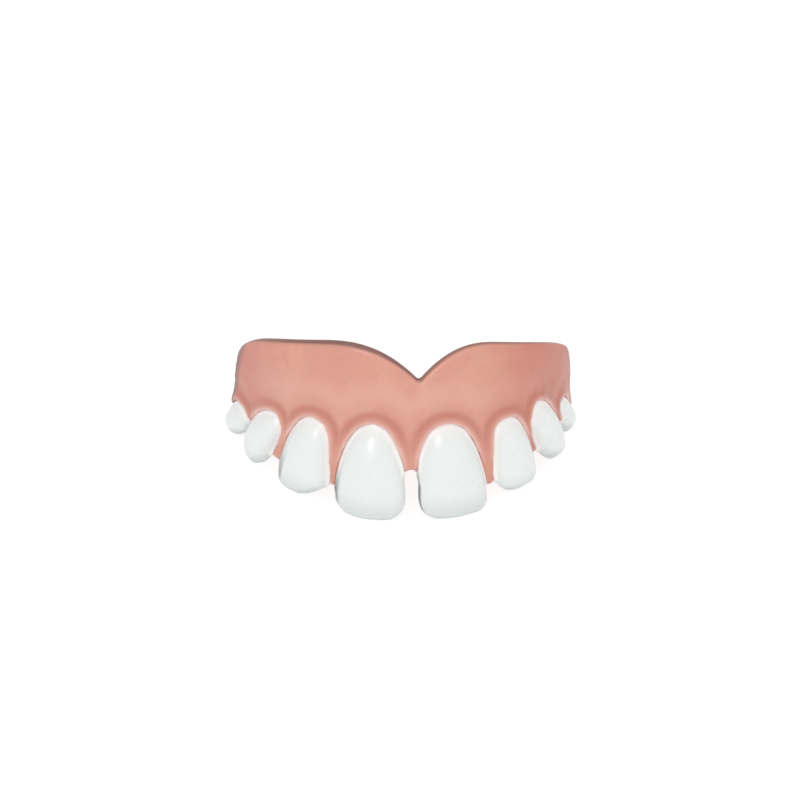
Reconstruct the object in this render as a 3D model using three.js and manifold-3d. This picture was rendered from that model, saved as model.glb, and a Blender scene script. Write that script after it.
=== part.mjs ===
// A dress-up denture with buck teeth: a pink acrylic base that clips over the wearer's upper front teeth,
// and eight white acrylic teeth set in sockets along its front.
// Millimetres, +Z up. The denture stands on its biting edges, with its front towards -Y.
// Left and right are those of someone who looks at the front.
import * as THREE from "three";
import { mergeVertices } from "three/addons/utils/BufferGeometryUtils.js";
import Module from "manifold-3d";

const wasm = await Module();
wasm.setup();

const { degToRad, lerp, smoothstep } = THREE.MathUtils;

// The front face is lofted through three level arches, each half an ellipse.
// front is the arch's foremost Y, and halfWidth is its widest X.
const ARCHES = [
  { at: "edges", height: 0, front: -6.5, halfWidth: 31.4 },
  { at: "necks", height: 14.5, front: 0, halfWidth: 30.3 },
  { at: "rim", height: 28, front: 4.5, halfWidth: 28.8 },
];
const NECK_ARCH = ARCHES.find((arch) => arch.at === "necks");
const ARCH_SPAN = degToRad(88); // how far the necks' ellipse is followed to each side of the midline

// The two ends of the base. The arches all come to the same depth, back, at this angle round them.
const HEEL = { along: 40, angle: degToRad(80), back: 26 };
// Towards the heels the base comes to lean inwards above these levels, and outwards below them.
const LEAN = { from: 20, slope: 0.06, leftLevel: 4.5, rightLevel: 9 };

// The base's rim falls away to both sides of a low crown, which is at this place along the arch.
// It has a V notch for the lip's frenum, and round corners at the heels.
const RIM = { height: 28.5, crown: -0.6, fallPerSquare: 0.0075, thickness: 2.2, roundSteps: 4 };
const CORNER = { leftDrop: 2, rightDrop: 0.6, reach: 8 };
const NOTCH = { along: 1.2, depth: 6.4, leftReach: 18.1, rightReach: 15, curve: 2.55 };

// The points of gum between the teeth, from heel to heel. The base's lower edge runs through them.
const PAPILLAE = [
  { along: -40, tip: 4 },
  { along: -32.6, tip: 5.4 },
  { along: -25.2, tip: 2.8 },
  { along: -13.2, tip: 3.2 },
  { along: 0, tip: 7.4 },
  { along: 13.8, tip: 3.6 },
  { along: 23.9, tip: 3.9 },
  { along: 32.6, tip: 4.6 },
  { along: 40, tip: 4 },
];
const LOWER_EDGE_ROUND = 0.6;

// The trough that takes the wearer's own teeth. Its walls are measured back from the front face.
const TROUGH = { frontWall: 5.9, width: 10.4, backWall: 2, backHeight: 13, floor: 6.4, underside: 4 };
const FLANGE_STEP = { from: 1, to: 4.5 }; // above the gum line, where the front wall thins to the flange
const FILLET = 0.8;

// The gum's relief: a collar round each tooth, a groove outside it, a ridge above and sunken tongues between.
const COLLAR = { height: 0.25, width: 1.2 };
const GROOVE = { depth: 0.35, away: 2.8, width: 1.2 };
const RIDGE = { height: 0.5, aboveNecks: 5.5, width: 3, fadesFrom: 20, fadesTo: 34 };
const TONGUE = { drop: 0.7, height: 6 };

// neck, right, tip and left are the four extremes of a tooth's outline, as [distance along the arch from
// the midline, height]. The outline is level at the neck and the tip, and upright at the two sides. full is
// how far it runs on like that in each quarter, clockwise from the neck: a level and an upright share of the
// way to the quarter's corner. Two of 0.55 make a quarter ellipse, and more is squarer.
// bulge is how far the middle of the face stands out.
const TEETH = [
  {
    name: "premolar_left", bulge: 1.7, full: [[0.95, 0.9], [0.31, 0.17], [0.95, 0.9], [0.3, 0.15]],
    neck: [-36.9, 6.5], right: [-33.2, 4.8], tip: [-37.7, -0.6], left: [-40.6, 0.6],
  },
  {
    name: "canine_left", bulge: 2.2, full: [[0.55, 0.22], [0.35, 0.21], [0.67, 0.68], [0.55, 0.2]],
    neck: [-25.3, 11], right: [-23.8, 9.1], tip: [-30.5, -1], left: [-33, 2.9],
  },
  {
    name: "lateral_left", bulge: 2.2, full: [[0.95, 0.88], [0.35, 0.2], [0.91, 0.9], [0.55, 0.2]],
    neck: [-17.5, 13.5], right: [-14, 3.7], tip: [-21.1, -0.4], left: [-23.9, 1.9],
  },
  {
    name: "central_left", bulge: 2.2, full: [[0.75, 0.2], [0.66, 0.68], [0.44, 0.2], [0.8, 0.2]],
    neck: [-6.3, 14.9], right: [-0.7, 3.2], tip: [-9, -0.8], left: [-12.8, 1.8],
  },
  {
    name: "central_right", bulge: 2.2, full: [[0.65, 0.2], [0.35, 0.22], [0.81, 0.82], [0.58, 0.9]],
    neck: [6.6, 14.9], right: [13.6, 1.1], tip: [11.7, -0.5], left: [1.2, 4.1],
  },
  {
    name: "lateral_right", bulge: 2.4, full: [[0.55, 0.2], [0.36, 0.29], [0.95, 0.67], [0.95, 0.9]],
    neck: [18, 13.4], right: [23.8, 1.5], tip: [23.5, 0], left: [14.8, 9.5],
  },
  {
    name: "canine_right", bulge: 2.6, full: [[0.55, 0.2], [0.95, 0.9], [0.35, 0.33], [0.55, 0.2]],
    neck: [24.8, 13.3], right: [33.1, 0.6], tip: [31.8, -0.7], left: [23.2, 10.1],
  },
  {
    name: "premolar_right", bulge: 1.7, full: [[0.3, 0.15], [0.95, 0.9], [0.3, 0.15], [0.95, 0.9]],
    neck: [34.7, 8.8], right: [39.9, 0.6], tip: [38, -0.6], left: [33.1, 7.8],
  },
];
const TOOTH = { tipThickness: 2.2, neckThickness: 4.2, sideDepth: 1.2, crownPower: 2.2 };
const TOOTH_EDGE = { drop: 0.5, from: 0.8, power: 1.5 }; // the face rounds off from this share of its size
const SOCKET = { gap: 0.2, reach: 6 }; // reach is how far the cut runs out in front of the face

// How closely the surfaces are faceted. The rings of a tooth are shares of its outline's size, and short is
// how far a back ring stays in front of the tooth's back.
const STATION_STEP = 1.06;
const FACE_ROWS = 18;
const QUARTER_STEPS = 6;
const FACE_RINGS = [0.2, 0.45, 0.68, 0.84, 0.94, 1];
const BACK_RINGS = [
  { share: 0.93, short: 0.5 },
  { share: 0.8, short: 0 },
  { share: 0.4, short: 0 },
];

const GUM = new THREE.MeshStandardMaterial({ color: 0xdd9c8c, roughness: 0.4, metalness: 0 });
const ENAMEL = new THREE.MeshStandardMaterial({ color: 0xeff1ef, roughness: 0.3, metalness: 0 });

// The curved space that the denture is shaped in: along the arch, up, and out of the front face

const neckDepth = (HEEL.back - NECK_ARCH.front) / (1 - Math.cos(HEEL.angle));
const neckCurve = new THREE.EllipseCurve(
  0, NECK_ARCH.front + neckDepth, NECK_ARCH.halfWidth, neckDepth,
  -Math.PI / 2 - ARCH_SPAN, -Math.PI / 2 + ARCH_SPAN,
);
neckCurve.arcLengthDivisions = 600;
const neckLength = neckCurve.getLength();

// The value of one column of ARCHES at a height, on the parabola through the three rows.
function throughArches(column, height) {
  return ARCHES.reduce((sum, row) => {
    const others = ARCHES.filter((other) => other !== row);
    const [first, second] = others.map((other) => (height - other.height) / (row.height - other.height));
    return sum + row[column] * first * second;
  }, 0);
}

function facePoint(along, height) {
  const angle = ARCH_SPAN * (2 * neckCurve.getUtoTmapping(0.5 + along / neckLength) - 1);
  const front = throughArches("front", height);
  const depth = ((HEEL.back - front) * (1 - Math.cos(angle))) / (1 - Math.cos(HEEL.angle));
  const x = throughArches("halfWidth", height) * Math.sin(angle);
  return new THREE.Vector3(x, front + depth, height);
}

// A point out of the front face, or behind it where out is negative, moved level with the ground.
function place(along, height, out) {
  const nudge = 0.05;
  const tangent = facePoint(along + nudge, height).sub(facePoint(along - nudge, height)).normalize();
  const outwards = new THREE.Vector3(tangent.y, -tangent.x, 0);
  return facePoint(along, height).addScaledVector(outwards, out);
}

// The value of a table's column at a place along the arch, between the two nearest rows.
function alongTable(rows, column, along) {
  const next = rows.findIndex((row) => row.along > along);
  if (next < 0) return rows.at(-1)[column];
  if (next === 0) return rows[0][column];
  const [before, after] = [rows[next - 1], rows[next]];
  return lerp(before[column], after[column], (along - before.along) / (after.along - before.along));
}

// Closed solids

function solidOf(geometry) {
  geometry.deleteAttribute("normal");
  geometry.deleteAttribute("uv");
  const merged = mergeVertices(geometry);
  return new wasm.Manifold(new wasm.Mesh({
    numProp: 3,
    vertProperties: merged.attributes.position.array,
    triVerts: new Uint32Array(merged.index.array),
  }));
}

function geometryOf(solid) {
  const mesh = solid.getMesh();
  return new THREE.BufferGeometry()
    .setAttribute("position", new THREE.BufferAttribute(mesh.vertProperties, 3))
    .setIndex(new THREE.BufferAttribute(mesh.triVerts, 1));
}

// A solid skinned over rings of equal length. The triangles of flatCap close both ends, or else a fan does.
function skin(rings, flatCap) {
  const size = rings[0].length;
  const points = rings.flat();
  const faces = [];
  for (let ring = 0; ring + 1 < rings.length; ring++) {
    for (let i = 0; i < size; i++) {
      const [here, beside] = [ring * size + i, ring * size + ((i + 1) % size)];
      faces.push(here, beside, beside + size, here, beside + size, here + size);
    }
  }
  const last = (rings.length - 1) * size;
  if (flatCap) {
    for (const [a, b, c] of flatCap) faces.push(c, b, a, last + a, last + b, last + c);
  } else {
    const centre = (ring) => ring.reduce((sum, p) => sum.add(p), new THREE.Vector3()).divideScalar(size);
    const [first, end] = [points.length, points.length + 1];
    points.push(centre(rings[0]), centre(rings.at(-1)));
    for (let i = 0; i < size; i++) {
      const j = (i + 1) % size;
      faces.push(first, j, i, end, last + i, last + j);
    }
  }
  return solidOf(new THREE.BufferGeometry().setFromPoints(points).setIndex(faces));
}

// Teeth

// The outline as points in the plane of the front face, clockwise from the neck, grown outwards.
function toothOutline(tooth, grow = 0) {
  const pairs = [tooth.neck, tooth.right, tooth.tip, tooth.left];
  const extremes = pairs.map(([along, height]) => new THREE.Vector2(along, height));
  const points = extremes.flatMap((from, quarter) => {
    const to = extremes[(quarter + 1) % 4];
    const startsLevel = quarter % 2 === 0; // at the neck or the tip
    const corner = startsLevel ? new THREE.Vector2(to.x, from.y) : new THREE.Vector2(from.x, to.y);
    const [level, upright] = tooth.full[quarter];
    const leaving = from.clone().lerp(corner, startsLevel ? level : upright);
    const arriving = to.clone().lerp(corner, startsLevel ? upright : level);
    return new THREE.CubicBezierCurve(from, leaving, arriving, to).getPoints(QUARTER_STEPS).slice(0, -1);
  });
  return points.map((point, i) => {
    const before = points.at(i - 1);
    const after = points[(i + 1) % points.length];
    const outwards = new THREE.Vector2(before.y - after.y, after.x - before.x).normalize();
    return point.clone().addScaledVector(outwards, grow);
  });
}

function toothMiddle({ neck, right, tip, left }) {
  return new THREE.Vector2((neck[0] + right[0] + tip[0] + left[0]) / 4, (neck[1] + tip[1]) / 2);
}

// One ring of a tooth: its outline shrunk to a share of its size, at a depth that may follow the height.
function toothRing(tooth, share, outAt, grow = 0) {
  const middle = toothMiddle(tooth);
  return toothOutline(tooth, grow).map((point) => {
    const { x: along, y: height } = middle.clone().lerp(point, share);
    return place(along, height, outAt(height));
  });
}

function backRings(tooth, grow) {
  const thickness = (height) =>
    lerp(TOOTH.tipThickness, TOOTH.neckThickness, smoothstep(height, tooth.tip[1], tooth.neck[1]));
  const side = toothRing(tooth, 1, () => -TOOTH.sideDepth - grow, grow);
  const back = BACK_RINGS.map(({ share, short }) =>
    toothRing(tooth, share, (height) => short - thickness(height) - grow, grow));
  return [side, ...back];
}

// The ground below the biting edges, which trims them level.
function groundSolid() {
  const [width, depth] = [100, 10];
  return solidOf(new THREE.BoxGeometry(width, width, depth).translate(0, 0, -depth / 2));
}

function toothSolid(tooth) {
  const face = FACE_RINGS.map((share) => {
    const crown = tooth.bulge * (1 - share ** TOOTH.crownPower);
    const edge = TOOTH_EDGE.drop * smoothstep(share, TOOTH_EDGE.from, 1) ** TOOTH_EDGE.power;
    return toothRing(tooth, share, () => crown - edge);
  });
  return skin([...face, ...backRings(tooth, 0)]).subtract(groundSolid());
}

// The room for a tooth in the base: the tooth's back and sides with a gap round them, open to the front.
function socketSolid(tooth) {
  const mouth = toothRing(tooth, 1, () => SOCKET.reach, SOCKET.gap);
  return skin([mouth, ...backRings(tooth, SOCKET.gap)]);
}

// Base

const gumLine = TEETH.map(({ neck }) => ({ along: neck[0], height: neck[1] }));
const outlinePoints = TEETH.flatMap((tooth) => toothOutline(tooth));

function lowerEdge(along) {
  return alongTable(PAPILLAE, "tip", along);
}

function rimHeight(along) {
  const fromNotch = along - NOTCH.along;
  const reach = fromNotch < 0 ? NOTCH.leftReach : NOTCH.rightReach;
  const notch = NOTCH.depth * Math.max(0, 1 - Math.abs(fromNotch) / reach) ** NOTCH.curve;
  const intoCorner = Math.max(0, Math.abs(along) - HEEL.along + CORNER.reach) / CORNER.reach;
  const drop = along < 0 ? CORNER.leftDrop : CORNER.rightDrop;
  const corner = drop * (1 - Math.sqrt(Math.max(0, 1 - intoCorner ** 2)));
  return RIM.height - RIM.fallPerSquare * (along - RIM.crown) ** 2 - notch - corner;
}

function nearHeel(along) {
  return smoothstep(Math.abs(along), LEAN.from, HEEL.along);
}

function heelLean(along, height) {
  const level = along < 0 ? LEAN.leftLevel : LEAN.rightLevel;
  return LEAN.slope * (level - height) * nearHeel(along);
}

// How far the gum stands out of the front face.
function gumRelief(along, height) {
  const hump = (distance, width) => Math.exp(-((distance / width) ** 2));
  const here = new THREE.Vector2(along, height);
  const away = Math.min(...outlinePoints.map((point) => point.distanceTo(here)));
  const collar = COLLAR.height * hump(away, COLLAR.width);
  const groove = GROOVE.depth * hump(away - GROOVE.away, GROOVE.width);
  const aboveNecks = height - alongTable(gumLine, "height", along);
  const inMiddle = 1 - smoothstep(Math.abs(along), RIDGE.fadesFrom, RIDGE.fadesTo);
  const ridge = RIDGE.height * inMiddle * hump(aboveNecks - RIDGE.aboveNecks, RIDGE.width);
  const belowRim = smoothstep(rimHeight(along) - height, RIM.thickness / 2, 2 * RIM.thickness);
  const low = lowerEdge(along);
  const tongue = TONGUE.drop * (1 - smoothstep(height, low, low + TONGUE.height)) * (1 - nearHeel(along));
  return (collar - groove + ridge) * belowRim - tongue;
}

// The base's cross-section at one place along the arch, as a ring of points from the lower front edge,
// up the face, over the rim, down into the trough, over its back wall and home along the underside.
function baseSection(along) {
  const section = [];
  const add = (out, height) => section.push([out + heelLean(along, height), height]);
  const [low, top, half] = [lowerEdge(along), rimHeight(along), RIM.thickness / 2];
  for (let row = 0; row <= FACE_ROWS; row++) {
    const height = lerp(low + LOWER_EDGE_ROUND, top - half, row / FACE_ROWS);
    add(gumRelief(along, height), height);
  }
  for (let step = 1; step <= RIM.roundSteps; step++) {
    const turn = Math.PI * (step / RIM.roundSteps);
    add(half * (Math.cos(turn) - 1), top + half * (Math.sin(turn) - 1));
  }
  const neck = alongTable(gumLine, "height", along);
  const stepTop = Math.min(neck + FLANGE_STEP.to, top - RIM.thickness);
  const stepFoot = Math.min(neck + FLANGE_STEP.from, stepTop - half);
  add(-RIM.thickness, stepTop);
  add(-TROUGH.frontWall, stepFoot);
  const backInside = TROUGH.frontWall + TROUGH.width;
  const backTop = backInside + TROUGH.backWall / 2;
  const backOutside = backInside + TROUGH.backWall;
  add(-TROUGH.frontWall, TROUGH.floor + FILLET);
  add(-TROUGH.frontWall - FILLET, TROUGH.floor);
  add(-backInside + FILLET, TROUGH.floor);
  add(-backInside, TROUGH.floor + FILLET);
  add(-backInside, TROUGH.backHeight - FILLET);
  add(-backTop, TROUGH.backHeight);
  add(-backOutside, TROUGH.backHeight - FILLET);
  add(-backOutside, TROUGH.underside + FILLET);
  add(-backOutside + FILLET, TROUGH.underside);
  add(-TROUGH.frontWall, TROUGH.underside);
  add(-TONGUE.drop - LOWER_EDGE_ROUND, low);
  return section;
}

// Places along the arch from the right heel to the left, with one in the notch's point.
function baseStations() {
  const stations = [];
  const span = (from, to) => {
    const steps = Math.round((from - to) / STATION_STEP);
    for (let i = 0; i < steps; i++) stations.push(lerp(from, to, i / steps));
  };
  span(HEEL.along, NOTCH.along);
  span(NOTCH.along, -HEEL.along);
  return [...stations, -HEEL.along];
}

function baseSolid() {
  const stations = baseStations();
  const sections = stations.map(baseSection);
  const rings = sections.map((section, i) =>
    section.map(([out, height]) => place(stations[i], height, out)));
  const heelOutline = sections[0].map(([out, height]) => new THREE.Vector2(out, height));
  const heelCap = THREE.ShapeUtils.triangulateShape(heelOutline, []);
  return TEETH.reduce((base, tooth) => base.subtract(socketSolid(tooth)), skin(rings, heelCap));
}

// Assembly, with the origin on the ground under the middle of the denture

const denture = new THREE.Group();

const base = new THREE.Mesh(geometryOf(baseSolid()), GUM);
base.name = "gum_base";
denture.add(base);

for (const tooth of TEETH) {
  const mesh = new THREE.Mesh(geometryOf(toothSolid(tooth)), ENAMEL);
  mesh.name = `tooth_${tooth.name}`;
  denture.add(mesh);
}

const box = new THREE.Box3().setFromObject(denture);
const middle = box.getCenter(new THREE.Vector3());
denture.position.set(-middle.x, -middle.y, -box.min.z);

export default denture;
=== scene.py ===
# A dress-up denture with buck teeth, standing on its biting edges on a pale table.
# Metres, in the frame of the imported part: +Z up, the denture's front towards -Y.
import math

import bpy
import numpy as np
from mathutils import Matrix, Vector
from mathutils.bvhtree import BVHTree
from mathutils.kdtree import KDTree


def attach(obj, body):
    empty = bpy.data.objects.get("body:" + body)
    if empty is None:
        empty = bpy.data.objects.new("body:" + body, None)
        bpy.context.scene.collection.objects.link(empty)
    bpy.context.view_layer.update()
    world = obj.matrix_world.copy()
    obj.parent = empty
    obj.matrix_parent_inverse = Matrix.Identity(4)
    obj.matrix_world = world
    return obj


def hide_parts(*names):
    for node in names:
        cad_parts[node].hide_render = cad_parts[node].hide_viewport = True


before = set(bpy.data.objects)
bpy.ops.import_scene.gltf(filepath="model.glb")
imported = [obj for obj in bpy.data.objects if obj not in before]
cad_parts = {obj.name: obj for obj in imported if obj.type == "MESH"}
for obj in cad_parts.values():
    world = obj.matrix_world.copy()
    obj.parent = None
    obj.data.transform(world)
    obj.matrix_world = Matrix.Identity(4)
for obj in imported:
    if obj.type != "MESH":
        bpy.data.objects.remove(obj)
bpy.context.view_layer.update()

# Teeth
# Eight big denture teeth, pressed from white acrylic in a mould and polished.
# Each is bonded by its neck into a socket of its own in the pink base.

MM = 0.001
TEETH = [
    "premolar_left",
    "canine_left",
    "lateral_left",
    "central_left",
    "central_right",
    "lateral_right",
    "canine_right",
    "premolar_right",
]
ARCH_CENTRE = Vector((0, 20.8 * MM, 0))
MERGE_DISTANCE = 0.001 * MM
TOOTH_CELL = 0.15 * MM
TOOTH_ROUNDING = 2
TOOTH_SOFTENING = 16
FACE_SOFTENING = 80
ROOT_SOFTENING = 6
ROOT_SWELL = 0.34 * MM
LOBE_GROOVES = (-0.2, 0.22)  # across the tooth, as shares of its width from its middle
LOBE_GROOVE_WIDTH = 0.085
LOBE_GROOVE_DEPTH = 0.11 * MM

# The ends of the smooth steps that go by how far the surface faces out of the arch.
FACE_TURN = (0.5, 0.75)
ROOT_TURN = (0.15, 0.55)
GROOVE_TURN = (0.3, 0.8)
FLANK_SHADE_TURN = (-0.1, 0.6)
MARGIN_LIGHT_TURN = (-0.6, -0.1)

# The ends of the step that goes by how far it faces down, for the painted shade on the undersides.
UNDERSIDE_SHADE_TURN = (0.15, 0.8)

# The ends of the steps that go by the distance from the base.
SOCKET_REACH = (0.4 * MM, 1.6 * MM)
MARGIN_LIGHT_REACH = (0.3 * MM, 0.95 * MM)

# The ends of the steps that go by the height, as a share of the tooth's.
GROOVE_TOP = (0.3, 0.85)
UNDERSIDE_SHADE_TOP = (0.25, 0.5)

# A grey painted shade along the left side of six teeth, standing in for the shadow there.
# Its foot, its top and the fades there are shares of the tooth's height.
PAINTED_LEFT_SHADES = {
    "lateral_left": {"strength": 0.7, "width": 0.6 * MM, "foot": 0.1, "top": 0.4},
    "central_left": {"strength": 0.95, "width": 0.75 * MM, "foot": 0.1, "top": 0.34},
    "central_right": {"strength": 0.85, "width": 0.6 * MM, "foot": 0, "top": 0.46},
    "lateral_right": {"strength": 0.2, "width": 0.5 * MM, "foot": 0.1, "top": 0.4},
    "canine_right": {"strength": 0.2, "width": 0.5 * MM, "foot": 0.1, "top": 0.4},
    "premolar_right": {"strength": 0.2, "width": 0.5 * MM, "foot": 0.1, "top": 0.5},
}
SHADE_FOOT_FADE = (-0.1, 0.15)
SHADE_TOP_FADE = (-0.15, 0.2)
SHADE_CORE = 0.3  # the share of its width over which the shade is full
SHADE_SIDE = (0, 0.25)  # to the left of the tooth's middle, as shares of its width
OUTLINE_STEP = 0.4 * MM


def copy_of_solid(node, name):
    """A new piece with a copy of a CAD solid's mesh, its triangles merged, selected and active."""
    bpy.ops.object.select_all(action="DESELECT")
    piece = bpy.data.objects.new(name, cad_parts[node].data.copy())
    bpy.context.collection.objects.link(piece)
    bpy.context.view_layer.objects.active = piece
    piece.select_set(True)
    bpy.ops.mesh.customdata_custom_splitnormals_clear()
    bpy.ops.object.mode_set(mode="EDIT")
    bpy.ops.mesh.select_all(action="SELECT")
    bpy.ops.mesh.remove_doubles(threshold=MERGE_DISTANCE)
    bpy.ops.mesh.tris_convert_to_quads()
    bpy.ops.object.mode_set(mode="OBJECT")
    return piece


def apply_modifier(piece, kind, **settings):
    modifier = piece.modifiers.new("shaping", kind)
    for setting, value in settings.items():
        setattr(modifier, setting, value)
    bpy.ops.object.modifier_apply(modifier=modifier.name)


def weight_group(piece, weights):
    """A vertex group with one weight for each vertex."""
    group = piece.vertex_groups.new(name="weights")
    for index in np.flatnonzero(weights > 0):
        group.add([int(index)], float(weights[index]), "REPLACE")
    return group.name


def push_surface(piece, weights, height, direction="NORMAL"):
    """Moves the surface along its normals or an axis, by the whole height where the weight is 1."""
    group = weight_group(piece, weights)
    apply_modifier(piece, "DISPLACE", vertex_group=group, direction=direction, strength=height, mid_level=0)
    piece.vertex_groups.clear()


def soften(piece, iterations, weights=None):
    """Smooths the surface, all over or where the weights are above 0."""
    group = "" if weights is None else weight_group(piece, weights)
    apply_modifier(piece, "SMOOTH", factor=0.5, iterations=iterations, vertex_group=group)
    piece.vertex_groups.clear()


def vertex_values(piece, value):
    """One row of three numbers for each vertex, such as its place or its normal."""
    values = np.empty(len(piece.data.vertices) * 3)
    piece.data.vertices.foreach_get(value, values)
    return values.reshape(-1, 3)


def store(piece, name, values):
    """Keeps one number for each vertex, for the material to read."""
    numbers = piece.data.attributes.new(name, "FLOAT", "POINT")
    numbers.data.foreach_set("value", values)


def smooth_step(values, low, high):
    share = np.clip((values - low) / (high - low), 0, 1)
    return share * share * (3 - 2 * share)


def hump(values, middle, width):
    return np.exp(-(((values - middle) / width) ** 2))


def facing_front(piece):
    """How far the surface faces out of the arch at each vertex, from 1 in front to -1 behind."""
    outwards = vertex_values(piece, "co") - np.array(ARCH_CENTRE)
    outwards[:, 2] = 0
    outwards /= np.linalg.norm(outwards, axis=1)[:, None]
    return (vertex_values(piece, "normal") * outwards).sum(1)


def distances_to(surface, points):
    found = [surface.find_nearest(point) for point in points]
    return np.array([distance for place, normal, face, distance in found])


def rightwards(piece):
    """The level direction across a tooth's face, to the right of someone who looks at it."""
    outwards = Vector(vertex_values(piece, "co").mean(0)) - ARCH_CENTRE
    return np.array((-outwards.y, outwards.x, 0)) / outwards.xy.length


def place_on_tooth(piece):
    """Each vertex's place across the tooth, from -0.5 to 0.5, and up it, from 0 at the biting edge to 1."""
    points = vertex_values(piece, "co")
    sideways = points @ rightwards(piece)
    sideways -= (sideways.max() + sideways.min()) / 2
    heights = points[:, 2] - points[:, 2].min()
    return sideways / np.ptp(sideways), heights / heights.max()


def inside_left_outline(piece):
    """How far each vertex lies inside the tooth's left outline at its own height."""
    points = vertex_values(piece, "co")
    leftwards = -points[:, 0]
    levels = np.arange(points[:, 2].min(), points[:, 2].max(), OUTLINE_STEP)
    level = np.digitize(points[:, 2], levels) - 1
    outline = np.array([leftwards[level == number].max() for number in range(len(levels))])
    return np.interp(points[:, 2], levels + OUTLINE_STEP / 2, outline) - leftwards


def painted_left_shade(piece, strength, width, foot, top):
    """A painted grey shade along the tooth's left side, standing in for its shadow, which fades out at its
    foot and its top.
    """
    across, up = place_on_tooth(piece)
    along = smooth_step(up - foot, *SHADE_FOOT_FADE) * (1 - smooth_step(up - top, *SHADE_TOP_FADE))
    at_left = 1 - smooth_step(inside_left_outline(piece), SHADE_CORE * width, width)
    return strength * along * at_left * smooth_step(-across, *SHADE_SIDE)


gum_surface = BVHTree.FromObject(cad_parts["gum_base"], bpy.context.evaluated_depsgraph_get())
teeth = []
for tooth in TEETH:
    piece = copy_of_solid(f"tooth_{tooth}", f"{tooth}_tooth")
    apply_modifier(piece, "SUBSURF", levels=TOOTH_ROUNDING, render_levels=TOOTH_ROUNDING)
    apply_modifier(piece, "REMESH", mode="VOXEL", voxel_size=TOOTH_CELL)
    soften(piece, TOOTH_SOFTENING)
    soften(piece, FACE_SOFTENING, smooth_step(facing_front(piece), *FACE_TURN))

    from_gum = distances_to(gum_surface, vertex_values(piece, "co"))
    in_socket = 1 - smooth_step(from_gum, *SOCKET_REACH)
    push_surface(piece, in_socket * (1 - smooth_step(facing_front(piece), *ROOT_TURN)), ROOT_SWELL)
    soften(piece, ROOT_SOFTENING)

    across, up = place_on_tooth(piece)
    in_front = smooth_step(facing_front(piece), *GROOVE_TURN)
    lower_face = 1 - smooth_step(up, *GROOVE_TOP)
    grooves = sum(hump(across, groove, LOBE_GROOVE_WIDTH) for groove in LOBE_GROOVES)
    push_surface(piece, np.clip(grooves * in_front * lower_face, 0, 1), -LOBE_GROOVE_DEPTH)

    across, up = place_on_tooth(piece)
    facing = facing_front(piece)
    downwards = -vertex_values(piece, "normal")[:, 2]
    # Painted shade along the left side of some teeth.
    shade = np.zeros(len(up))
    if tooth in PAINTED_LEFT_SHADES:
        shade = painted_left_shade(piece, **PAINTED_LEFT_SHADES[tooth])
    store(piece, "up", up)
    # Painted shade on the flanks that turn away from the front.
    store(piece, "flank_shade", 1 - smooth_step(facing, *FLANK_SHADE_TURN))
    # Painted shade on the undersides near the biting edge.
    store(piece, "underside_shade", smooth_step(downwards, *UNDERSIDE_SHADE_TURN) * (1 - smooth_step(up, *UNDERSIDE_SHADE_TOP)))
    # Painted light at the margin by the gum, lightening the crevice there.
    store(piece, "margin_light", (1 - smooth_step(from_gum, *MARGIN_LIGHT_REACH)) * smooth_step(facing, *MARGIN_LIGHT_TURN))
    store(piece, "shade", shade)
    bpy.ops.object.shade_smooth()
    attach(piece, "root")
    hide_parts(f"tooth_{tooth}")
    teeth.append(piece)

ACRYLIC_IOR = 1.49
PATCH_SHARE = 0.75  # of the polish's unevenness, the rest being swirls
PATCH_RANGE = (0.3, 0.7)
STREAK_STRETCH = (1, 1, 0.16)
GROWTH_LINE_STRETCH = (0.12, 0.12, 1)
CLOUD_HEIGHT = 0.05  # as a share of the tooth's height
TOOTH_SWIRL = 0.3
ENAMEL_BODY = (0.80, 0.83, 0.82, 1)
ENAMEL_EDGE = (0.65, 0.69, 0.68, 1)
ENAMEL_NECK = (0.84, 0.84, 0.825, 1)
ENAMEL_MARGIN_LIGHT = (0.97, 0.93, 0.91, 1)
ENAMEL_FLANK_SHADE = (0.52, 0.54, 0.54, 1)
ENAMEL_STREAK = (0.74, 0.78, 0.77, 1)
ENAMEL_UNDERSIDE_SHADE = (0.42, 0.44, 0.44, 1)
ENAMEL_SHADE = (0.14, 0.145, 0.145, 1)

# A Mix node's sockets for colours share their names with its other sockets, so they go by number.
MIX_SHARE = 0
MIX_FIRST = 6
MIX_SECOND = 7
MIX_RESULT = 2


def set_inputs(tree, node, inputs):
    """Links each value that is a socket into the node's input, and sets the others as the input's own."""
    for name, value in inputs.items():
        if isinstance(value, bpy.types.NodeSocket):
            tree.links.new(value, node.inputs[name])
        else:
            node.inputs[name].default_value = value


def add_node(tree, kind, inputs, output=0, **settings):
    node = tree.nodes.new(f"ShaderNode{kind}")
    for setting, value in settings.items():
        setattr(node, setting, value)
    set_inputs(tree, node, inputs)
    return node.outputs[output]


def mix(tree, share, first, second):
    inputs = {MIX_SHARE: share, MIX_FIRST: first, MIX_SECOND: second}
    return add_node(tree, "Mix", inputs, output=MIX_RESULT, data_type="RGBA")


def maths(tree, operation, first, second=0.0):
    return add_node(tree, "Math", {0: first, 1: second}, operation=operation)


def tint(tree, colour, mask, other, share):
    """Lays a share of another colour over a colour, where the mask is 1."""
    return mix(tree, maths(tree, "MULTIPLY", mask, share), colour, other)


def ramp(tree, value, low, high, to_low=0.0, to_high=1.0, interpolation="SMOOTHSTEP"):
    """A value from low to high, mapped to the range from to_low to to_high."""
    inputs = {"Value": value, "From Min": low, "From Max": high, "To Min": to_low, "To Max": to_high}
    return add_node(tree, "MapRange", inputs, interpolation_type=interpolation)


def noise(tree, vector, scale, detail=2.0):
    return add_node(tree, "TexNoise", {"Vector": vector, "Scale": scale, "Detail": detail})


def attribute(tree, name):
    return add_node(tree, "Attribute", {}, output="Fac", attribute_name=name)


def new_material(name):
    material = bpy.data.materials.new(name)
    material.use_nodes = True
    return material, material.node_tree, material.node_tree.nodes["Principled BSDF"]


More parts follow.
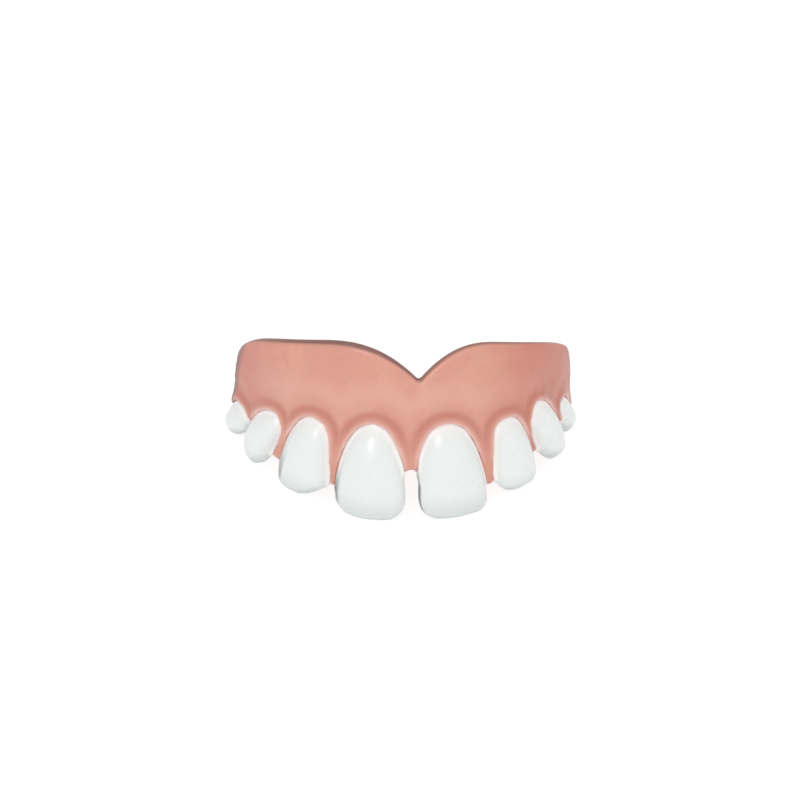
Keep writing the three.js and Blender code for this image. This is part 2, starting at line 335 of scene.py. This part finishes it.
def acrylic_polish_group():
    """Hand-polished acrylic: patches that are more and less glossy, and the fine swirl of the buff."""
    group = bpy.data.node_groups.new("acrylic_polish", "ShaderNodeTree")
    sockets = group.interface
    sockets.new_socket("Vector", in_out="INPUT", socket_type="NodeSocketVector")
    sockets.new_socket("Gloss", in_out="INPUT", socket_type="NodeSocketFloat")
    sockets.new_socket("Dull", in_out="INPUT", socket_type="NodeSocketFloat")
    sockets.new_socket("Roughness", in_out="OUTPUT", socket_type="NodeSocketFloat")
    sockets.new_socket("Height", in_out="OUTPUT", socket_type="NodeSocketFloat")
    given = group.nodes.new("NodeGroupInput").outputs
    result = group.nodes.new("NodeGroupOutput")
    patches = noise(group, given["Vector"], scale=320, detail=3)
    swirls = noise(group, given["Vector"], scale=5200, detail=1)
    patchy = maths(group, "MULTIPLY", patches, PATCH_SHARE)
    uneven = maths(group, "ADD", patchy, maths(group, "MULTIPLY", swirls, 1 - PATCH_SHARE))
    roughness = ramp(group, uneven, *PATCH_RANGE, given["Gloss"], given["Dull"], interpolation="LINEAR")
    set_inputs(group, result, {"Roughness": roughness, "Height": swirls})
    return group


ACRYLIC_POLISH = acrylic_polish_group()


def polish(tree, vector, gloss, dull):
    node = tree.nodes.new("ShaderNodeGroup")
    node.node_tree = ACRYLIC_POLISH
    set_inputs(tree, node, {"Vector": vector, "Gloss": gloss, "Dull": dull})
    return node.outputs["Roughness"], node.outputs["Height"]


def tooth_acrylic():
    material, tree, shader = new_material("tooth_acrylic_white")
    spot = add_node(tree, "TexCoord", {}, output="Object")
    up = attribute(tree, "up")

    streak_spot = add_node(tree, "Mapping", {"Vector": spot, "Scale": STREAK_STRETCH})
    streaks = ramp(tree, noise(tree, streak_spot, scale=900, detail=3), low=0.45, high=0.7, to_high=0.07)
    colour = mix(tree, streaks, ENAMEL_BODY, ENAMEL_STREAK)
    neck = ramp(tree, up, low=0.7, high=1, to_high=0.7)
    colour = mix(tree, neck, colour, ENAMEL_NECK)
    cloud = maths(tree, "MULTIPLY", noise(tree, spot, scale=260), CLOUD_HEIGHT)
    biting_edge = ramp(tree, maths(tree, "ADD", up, cloud), low=0.4, high=0.05, to_high=0.9)
    colour = mix(tree, biting_edge, colour, ENAMEL_EDGE)
    # Painted shade on the flanks that turn away from the front.
    flank_shade = ramp(tree, attribute(tree, "flank_shade"), low=0.2, high=1, to_high=0.8)
    colour = mix(tree, flank_shade, colour, ENAMEL_FLANK_SHADE)
    # Painted shade on the undersides near the biting edge.
    colour = tint(tree, colour, attribute(tree, "underside_shade"), ENAMEL_UNDERSIDE_SHADE, share=0.9)
    # Painted light at the margin by the gum, lightening the crevice there.
    colour = tint(tree, colour, attribute(tree, "margin_light"), ENAMEL_MARGIN_LIGHT, share=0.9)
    # Painted shade along the left side, in patches.
    patchy_shade = ramp(tree, noise(tree, spot, scale=500), low=0.2, high=0.6, to_low=0.75)
    colour = tint(tree, colour, attribute(tree, "shade"), ENAMEL_SHADE, share=patchy_shade)

    roughness, swirl = polish(tree, spot, gloss=0.2, dull=0.32)
    growth_spot = add_node(tree, "Mapping", {"Vector": spot, "Scale": GROWTH_LINE_STRETCH})
    growth_lines = noise(tree, growth_spot, scale=2600)
    height = maths(tree, "ADD", growth_lines, maths(tree, "MULTIPLY", swirl, TOOTH_SWIRL))
    bump = add_node(tree, "Bump", {"Strength": 0.05, "Distance": 0.02 * MM, "Height": height})
    inputs = {
        "Base Color": colour,
        "Roughness": roughness,
        "Normal": bump,
        "IOR": ACRYLIC_IOR,
        "Subsurface Weight": 0.15,
        "Subsurface Radius": (1.0, 0.9, 0.8),
        "Subsurface Scale": 0.8 * MM,
    }
    set_inputs(tree, shader, inputs)
    return material


tooth_finish = tooth_acrylic()
for piece in teeth:
    piece.data.materials.clear()
    piece.data.materials.append(tooth_finish)

# Gum base
# The base is one piece of salmon pink acrylic, packed as dough into a flask, cured, trimmed and polished.
# Its rounded rim has a notch for the lip's frenum, and a trough behind takes the wearer's own teeth.

GUM_CELL = 0.22 * MM
GUM_SOFTENING = 12
GUM_FACE_SOFTENING = 40
GUM_LAST_SOFTENING = 2
GUM_TRIANGLES = 190000
NECK_CLEARANCE = (0.2 * MM, 1.2 * MM)
ARCH_HALF_WIDTH = 30 * MM
ARCH_DEPTH = 31 * MM
OUTSIDE = (0.6, 0.7)  # shares of the way from the arch's centre to its outer face
FRONT_OUTSIDE = 0.5
HEEL_END = 12.3 * MM
HEEL_SWELL = 0.3 * MM
HEEL_SWELL_STARTS = 5 * MM

# These go by how far the surface faces out of the arch.
GUM_FACE_TURN = (0.6, 0.85)
GUM_FRONT_TURN = (0.4, 0.7)
HEEL_SWELL_TURN = (0, 0.6)
FRONT_FACING = 0.62

# In the gap between the middle teeth the lower edge is lifted to a round arch, by less at the front. Behind
# the front wall the lift ends lower, under the floor of the trough.
GAP_MIDDLE = 0.35 * MM
GAP_REACH = 1.5 * MM
GAP_LIFT = 1.3 * MM
GAP_FRONT_SHARE = 0.27
GAP_FRONT = (-12.5 * MM, -9.9 * MM)
GAP_BACK = (-8.5 * MM, -5 * MM)
GAP_TOP = (7.6 * MM, 9.2 * MM)
FLOOR_DROP = 2.9 * MM
FLOOR_FRONT = (-11 * MM, -9.5 * MM)

# The papilla, the point of gum between the right middle tooth and the tooth beside it, reaches lower.
PAPILLA_MIDDLE = 14.1 * MM
PAPILLA_REACH = 1.6 * MM
PAPILLA_DROP = 0.9 * MM
PAPILLA_TOP = (4.3 * MM, 6 * MM)
PAPILLA_BACK = (-8.5 * MM, -6 * MM)

# A groove round each neck holds painted shade, with painted highlights on a collar inside it and a band
# outside.
# How far up they begin is a share of the tooth's height.
NECK_GROOVE_AWAY = 1.45 * MM
NECK_GROOVE_WIDTH = 0.7 * MM
NECK_GROOVE_DEPTH = 0.16 * MM
NECK_GROOVE_UP = (0.4, 0.75)
NECK_SHADE_UP = (0.55, 0.98)
COLLAR_HIGHLIGHT_REACH = (0.2 * MM, 1.05 * MM)
COLLAR_HIGHLIGHT_UP = (0.42, 0.8)
RIDGE_HIGHLIGHT_AWAY = 5.5 * MM
RIDGE_HIGHLIGHT_WIDTH = 2.2 * MM

# A dark line of painted shade runs along the rim and down the ends of the heels.
# It is wider on the left and at the heels, and narrower and paler on the right.
LINE_WIDTH = 1.1 * MM
LINE_TURN = (-0.75, -0.3)  # by how far the surface turns away from the front
LINE_TOP_TURN = (-0.1, 0.3)  # by how far it faces up
LINE_LEFT = (2 * MM, 10 * MM)
LINE_RIGHT = (-4 * MM, 6 * MM)
LINE_WIDER = 0.15
LINE_NARROWER = 0.2
LINE_PALER = 0.1
LINE_TAPER = 0.65
LINE_TAPER_REACH = (-3 * MM, 0)  # from the end of the heel
HEEL_LINE_STARTS = 2 * MM
HEEL_PALER = 0.6
HEEL_SHADE_REACH = (-3.3 * MM, -0.8 * MM)  # from the end of the heel
HEEL_SIDES = (-10 * MM, 10 * MM)

# The two ends of the base are darkened to a deeper pink with painted shade; all that lies behind the rim is
# a deeper pink too.
RIGHT_END_SHADE = (8 * MM, 29 * MM)
LEFT_END_SHADE = (20 * MM, 30 * MM)
LEFT_END_SHADE_SHARE = 0.9
BACK_REACH = (1.1 * MM, 2.4 * MM)

# One mesh of all the teeth serves to measure how far the base lies from them.
all_teeth = bpy.data.objects.new("all_teeth", teeth[0].data.copy())
bpy.context.collection.objects.link(all_teeth)
bpy.ops.object.select_all(action="DESELECT")
for piece in teeth[1:]:
    double = bpy.data.objects.new("double", piece.data.copy())
    bpy.context.collection.objects.link(double)
    double.select_set(True)
all_teeth.select_set(True)
bpy.context.view_layer.objects.active = all_teeth
bpy.ops.object.join()
bpy.context.view_layer.update()
teeth_surface = BVHTree.FromObject(all_teeth, bpy.context.evaluated_depsgraph_get())
bpy.data.objects.remove(all_teeth)
tooth_ends = np.cumsum([len(piece.data.polygons) for piece in teeth])
tooth_feet = np.array([vertex_values(piece, "co")[:, 2].min() for piece in teeth])
tooth_tops = np.array([vertex_values(piece, "co")[:, 2].max() for piece in teeth])


def from_teeth(piece):
    """Each vertex's distance from the nearest tooth, and its height as a share of that tooth's."""
    points = vertex_values(piece, "co")
    found = [teeth_surface.find_nearest(point) for point in points]
    nearest = np.array([place for place, normal, face, distance in found])
    tooth = np.searchsorted(tooth_ends, [face for place, normal, face, distance in found], side="right")
    up = (points[:, 2] - tooth_feet[tooth]) / (tooth_tops - tooth_feet)[tooth]
    return np.linalg.norm(nearest - points, axis=1), up


def on_outside(piece):
    """1 on the front face and the rim, and 0 at the back wall of the trough."""
    points = vertex_values(piece, "co")
    share = np.hypot(points[:, 0] / ARCH_HALF_WIDTH, (points[:, 1] - ARCH_CENTRE.y) / ARCH_DEPTH)
    return smooth_step(share, *OUTSIDE)


def distances_from_front(piece):
    """The distance from each vertex to the nearest one on the front face."""
    points = vertex_values(piece, "co")
    front = points[(facing_front(piece) > FRONT_FACING) & (on_outside(piece) > FRONT_OUTSIDE)]
    places = KDTree(len(front))
    for number, point in enumerate(front):
        places.insert(point, number)
    places.balance()
    found = [places.find(point) for point in points]
    return np.array([distance for place, number, distance in found])


def arch(values, middle, reach):
    return np.clip(1 - ((values - middle) / reach) ** 2, 0, 1)


def neck_groove_and_shade(piece, heights):
    """The groove round each neck on the front face, from a range of heights up the tooth; also its painted
    shade.
    """
    away, up = from_teeth(piece)
    in_front = smooth_step(facing_front(piece), *GUM_FRONT_TURN)
    return hump(away, NECK_GROOVE_AWAY, NECK_GROOVE_WIDTH) * smooth_step(up, *heights) * in_front


def rim_line(piece, from_front):
    """The painted shade, a dark line along the top of the rim and round the ends of the heels."""
    points = vertex_values(piece, "co")
    at_heels = smooth_step(points[:, 1], HEEL_LINE_STARTS, HEEL_END)
    on_left = smooth_step(-points[:, 0], *LINE_LEFT)
    on_right = smooth_step(points[:, 0], *LINE_RIGHT)
    wider = LINE_WIDER * np.maximum(at_heels, on_left) - LINE_NARROWER * on_right
    line = smooth_step(wider - facing_front(piece), *LINE_TURN)
    width = LINE_WIDTH * (1 - LINE_TAPER * smooth_step(points[:, 1] - HEEL_END, *LINE_TAPER_REACH))
    line *= 1 - smooth_step(from_front, width, 2 * width)
    line *= 1 - LINE_PALER * on_right
    line *= 1 - HEEL_PALER * at_heels * on_right
    return line * np.maximum(smooth_step(vertex_values(piece, "normal")[:, 2], *LINE_TOP_TURN), at_heels)


def heel_shade(piece):
    """The line's painted shade on the outer face at the end of each heel, paler on the right."""
    points = vertex_values(piece, "co")
    shade = smooth_step(points[:, 1] - HEEL_END, *HEEL_SHADE_REACH)
    shade *= 1 - HEEL_PALER * smooth_step(points[:, 0], *HEEL_SIDES)
    return shade * smooth_step(facing_front(piece), *GUM_FRONT_TURN) * on_outside(piece)


gum = copy_of_solid("gum_base", "pink_gum_base")
apply_modifier(gum, "REMESH", mode="VOXEL", voxel_size=GUM_CELL)
at_heels = smooth_step(vertex_values(gum, "co")[:, 1], HEEL_SWELL_STARTS, HEEL_END) * on_outside(gum)
push_surface(gum, at_heels * smooth_step(facing_front(gum), *HEEL_SWELL_TURN), HEEL_SWELL)

x, y, z = vertex_values(gum, "co").T
under_floor = FLOOR_DROP * smooth_step(y, *FLOOR_FRONT)
in_gap = arch(x, GAP_MIDDLE, GAP_REACH) * (1 - smooth_step(z + under_floor, *GAP_TOP))
in_gap *= GAP_FRONT_SHARE + (1 - GAP_FRONT_SHARE) * smooth_step(y, *GAP_FRONT)
in_gap *= 1 - smooth_step(y, *GAP_BACK)
push_surface(gum, in_gap, GAP_LIFT, direction="Z")
in_papilla = arch(x, PAPILLA_MIDDLE, PAPILLA_REACH) * (1 - smooth_step(z, *PAPILLA_TOP))
in_papilla *= 1 - smooth_step(y, *PAPILLA_BACK)
push_surface(gum, in_papilla, -PAPILLA_DROP, direction="Z")
soften(gum, GUM_SOFTENING)

away, up = from_teeth(gum)
on_face = smooth_step(facing_front(gum), *GUM_FACE_TURN)
soften(gum, GUM_FACE_SOFTENING, on_face * smooth_step(away, *NECK_CLEARANCE))
push_surface(gum, neck_groove_and_shade(gum, NECK_GROOVE_UP), -NECK_GROOVE_DEPTH)
soften(gum, GUM_LAST_SOFTENING)
triangles = sum(len(face.vertices) - 2 for face in gum.data.polygons)
apply_modifier(gum, "DECIMATE", ratio=min(1, GUM_TRIANGLES / triangles))

away, up = from_teeth(gum)
from_front = distances_from_front(gum)
in_front = smooth_step(facing_front(gum), *GUM_FRONT_TURN)
sideways = vertex_values(gum, "co")[:, 0]
# Painted shade at the two ends of the base.
left_end_shade = LEFT_END_SHADE_SHARE * smooth_step(-sideways, *LEFT_END_SHADE)
# Painted shade in the neck grooves.
store(gum, "neck_groove_and_shade", neck_groove_and_shade(gum, NECK_SHADE_UP))
# A painted highlight on the collar round each tooth, also lightening the crevice there.
store(gum, "collar_highlight", (1 - smooth_step(away, *COLLAR_HIGHLIGHT_REACH)) * smooth_step(up, *COLLAR_HIGHLIGHT_UP))
# A painted highlight in a band along the ridge.
store(gum, "ridge_highlight", hump(away, RIDGE_HIGHLIGHT_AWAY, RIDGE_HIGHLIGHT_WIDTH) * in_front)
# Painted shade along the rim and at the ends of the heels.
store(gum, "rim", np.maximum(rim_line(gum, from_front), heel_shade(gum)))
store(gum, "end_shade", np.maximum(smooth_step(sideways, *RIGHT_END_SHADE), left_end_shade))
store(gum, "back", smooth_step(from_front, *BACK_REACH))
bpy.ops.object.shade_smooth()
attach(gum, "root")
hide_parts("gum_base")

GUM_PINK = (0.68, 0.31, 0.24, 1)
GUM_WARM = (0.705, 0.345, 0.255, 1)
GUM_ROSE = (0.66, 0.275, 0.225, 1)
GUM_FIBRE = (0.52, 0.10, 0.085, 1)
GUM_SWIRL = 0.2
BACK_DULLNESS = 0.22
NOISE_MIDDLE = 0.5

# Each tint's mask, its colour and how much of it shows, in the order in which they are laid on.
GUM_TINTS = [
    # A painted highlight along the ridge.
    ("ridge_highlight", (0.74, 0.40, 0.32, 1), 0.6),
    # Painted shade at the two ends.
    ("end_shade", (0.555, 0.172, 0.118, 1), 0.95),
    ("back", (0.60, 0.24, 0.19, 1), 1),
    # A painted highlight on the collars.
    ("collar_highlight", (0.85, 0.60, 0.55, 1), 0.8),
    # Painted shade in the neck grooves.
    ("neck_groove_and_shade", (0.53, 0.19, 0.145, 1), 0.75),
    # Painted shade along the rim.
    ("rim", (0.17, 0.082, 0.072, 1), 0.86),
]


def gum_acrylic():
    material, tree, shader = new_material("gum_acrylic_salmon")
    spot = add_node(tree, "TexCoord", {}, output="Object")

    mottle = ramp(tree, noise(tree, spot, scale=130, detail=3), low=0.35, high=0.65)
    colour = mix(tree, mottle, GUM_WARM, GUM_PINK)
    rosy_spots = ramp(tree, noise(tree, spot, scale=420), low=0.5, high=0.75, to_high=0.6)
    colour = mix(tree, rosy_spots, colour, GUM_ROSE)
    above_middle = maths(tree, "SUBTRACT", noise(tree, spot, scale=700, detail=1), NOISE_MIDDLE)
    strand = maths(tree, "ABSOLUTE", above_middle)
    broken = ramp(tree, noise(tree, spot, scale=900, detail=1), low=0.52, high=0.62)
    fibre = maths(tree, "MULTIPLY", ramp(tree, strand, low=0.014, high=0.004), broken)
    colour = tint(tree, colour, fibre, GUM_FIBRE, share=0.14)
    for mask, other, share in GUM_TINTS:
        colour = tint(tree, colour, attribute(tree, mask), other, share)

    glossy, swirl = polish(tree, spot, gloss=0.26, dull=0.4)
    duller = maths(tree, "MULTIPLY", attribute(tree, "back"), BACK_DULLNESS)
    roughness = maths(tree, "ADD", glossy, duller)
    stipple_inputs = {"Vector": spot, "Scale": 1300, "Smoothness": 0.6}
    stipple = add_node(tree, "TexVoronoi", stipple_inputs, feature="SMOOTH_F1")
    height = maths(tree, "ADD", stipple, maths(tree, "MULTIPLY", swirl, GUM_SWIRL))
    bump = add_node(tree, "Bump", {"Strength": 0.3, "Distance": 0.05 * MM, "Height": height})
    inputs = {
        "Base Color": colour,
        "Roughness": roughness,
        "Normal": bump,
        "IOR": ACRYLIC_IOR,
        "Subsurface Weight": 0.12,
        "Subsurface Radius": (1.0, 0.45, 0.35),
        "Subsurface Scale": 0.7 * MM,
    }
    set_inputs(tree, shader, inputs)
    return material


gum.data.materials.clear()
gum.data.materials.append(gum_acrylic())

# Table
# The denture stands on a round light table.
# Its top is a sheet of matt white opal glass, which glows faintly and evenly from below.

TABLE_RADIUS = 1.5
TABLE_SIDES = 96
TABLE_WHITE = (0.2, 0.2, 0.197, 1)
TABLE_GREY = (0.19, 0.19, 0.19, 1)
PLAIN_WHITE = (1, 1, 1, 1)

bpy.ops.object.select_all(action="DESELECT")
bpy.ops.mesh.primitive_circle_add(vertices=TABLE_SIDES, radius=TABLE_RADIUS, fill_type="NGON")
table = bpy.context.object
table.name = "table_top"
material, tree, shader = new_material("opal_glass")
spot = add_node(tree, "TexCoord", {}, output="Object")
cloud = ramp(tree, noise(tree, spot, scale=40, detail=3), low=0.4, high=0.6)
glass_inputs = {
    "Base Color": mix(tree, cloud, TABLE_WHITE, TABLE_GREY),
    "Roughness": 0.7,
    "Emission Color": PLAIN_WHITE,
    "Emission Strength": 0.85,
}
set_inputs(tree, shader, glass_inputs)
table.data.materials.append(material)

# Studio light
# A white room, a little darker on the left, lit by a small soft box high in front on the left and by a wide
# one overhead. The camera itself sees the room as plain white.

ROOM_STRENGTH = 0.76
ROOM_ON_LEFT = 0.66
LIT_PLACE = Vector((0, 0, 14 * MM))
TO_THE_LEFT = (-1, 0, 0)


def soft_box(name, towards, distance, size, power):
    light = bpy.data.lights.new(name, "AREA")
    light.shape = "DISK"
    light.size = size
    light.energy = power
    lamp = bpy.data.objects.new(name, light)
    bpy.context.collection.objects.link(lamp)
    direction = Vector(towards).normalized()
    lamp.location = LIT_PLACE + direction * distance
    lamp.rotation_euler = direction.to_track_quat("Z", "Y").to_euler()


soft_box("key", towards=(-0.3, -0.75, 0.75), distance=0.6, size=0.2, power=0.62)
soft_box("overhead", towards=(0, -0.15, 1), distance=0.7, size=0.6, power=0.8)

world = bpy.data.worlds.new("white_room")
world.use_nodes = True
tree = world.node_tree
direction = add_node(tree, "TexCoord", {}, output="Generated")
dot_inputs = {0: direction, 1: TO_THE_LEFT}
leftwards = add_node(tree, "VectorMath", dot_inputs, output="Value", operation="DOT_PRODUCT")
strength = ramp(tree, leftwards, low=0.25, high=0.85, to_low=ROOM_STRENGTH, to_high=ROOM_ON_LEFT)
seen = add_node(tree, "LightPath", {}, output="Is Camera Ray")
room_inputs = {"Color": PLAIN_WHITE, "Strength": maths(tree, "MAXIMUM", strength, seen)}
set_inputs(tree, tree.nodes["Background"], room_inputs)
scene = bpy.context.scene
scene.world = world
scene.view_settings.view_transform = "Standard"

# Camera
# A long lens that looks down at the front from a little to the left, turned slightly about its own axis.

CAMERA_AZIMUTH = math.radians(-4.9)
CAMERA_ELEVATION = math.radians(35.7)
CAMERA_ROLL = math.radians(2.85)
CAMERA_DISTANCE = 374 * MM
CAMERA_AIM = Vector((-1.362, -2.512, 14.847)) * MM
CAMERA_LENS = 100
CAMERA_NEAREST = 10 * MM

camera = bpy.data.objects.new("camera", bpy.data.cameras.new("camera"))
bpy.context.collection.objects.link(camera)
camera.data.lens = CAMERA_LENS
camera.data.clip_start = CAMERA_NEAREST
turn = Matrix.Rotation(CAMERA_AZIMUTH, 3, "Z") @ Matrix.Rotation(math.pi / 2 - CAMERA_ELEVATION, 3, "X")
turn = turn @ Matrix.Rotation(CAMERA_ROLL, 3, "Z")
backwards = turn @ Vector((0, 0, 1))
camera.matrix_world = Matrix.LocRotScale(CAMERA_AIM + backwards * CAMERA_DISTANCE, turn, None)
scene.camera = camera
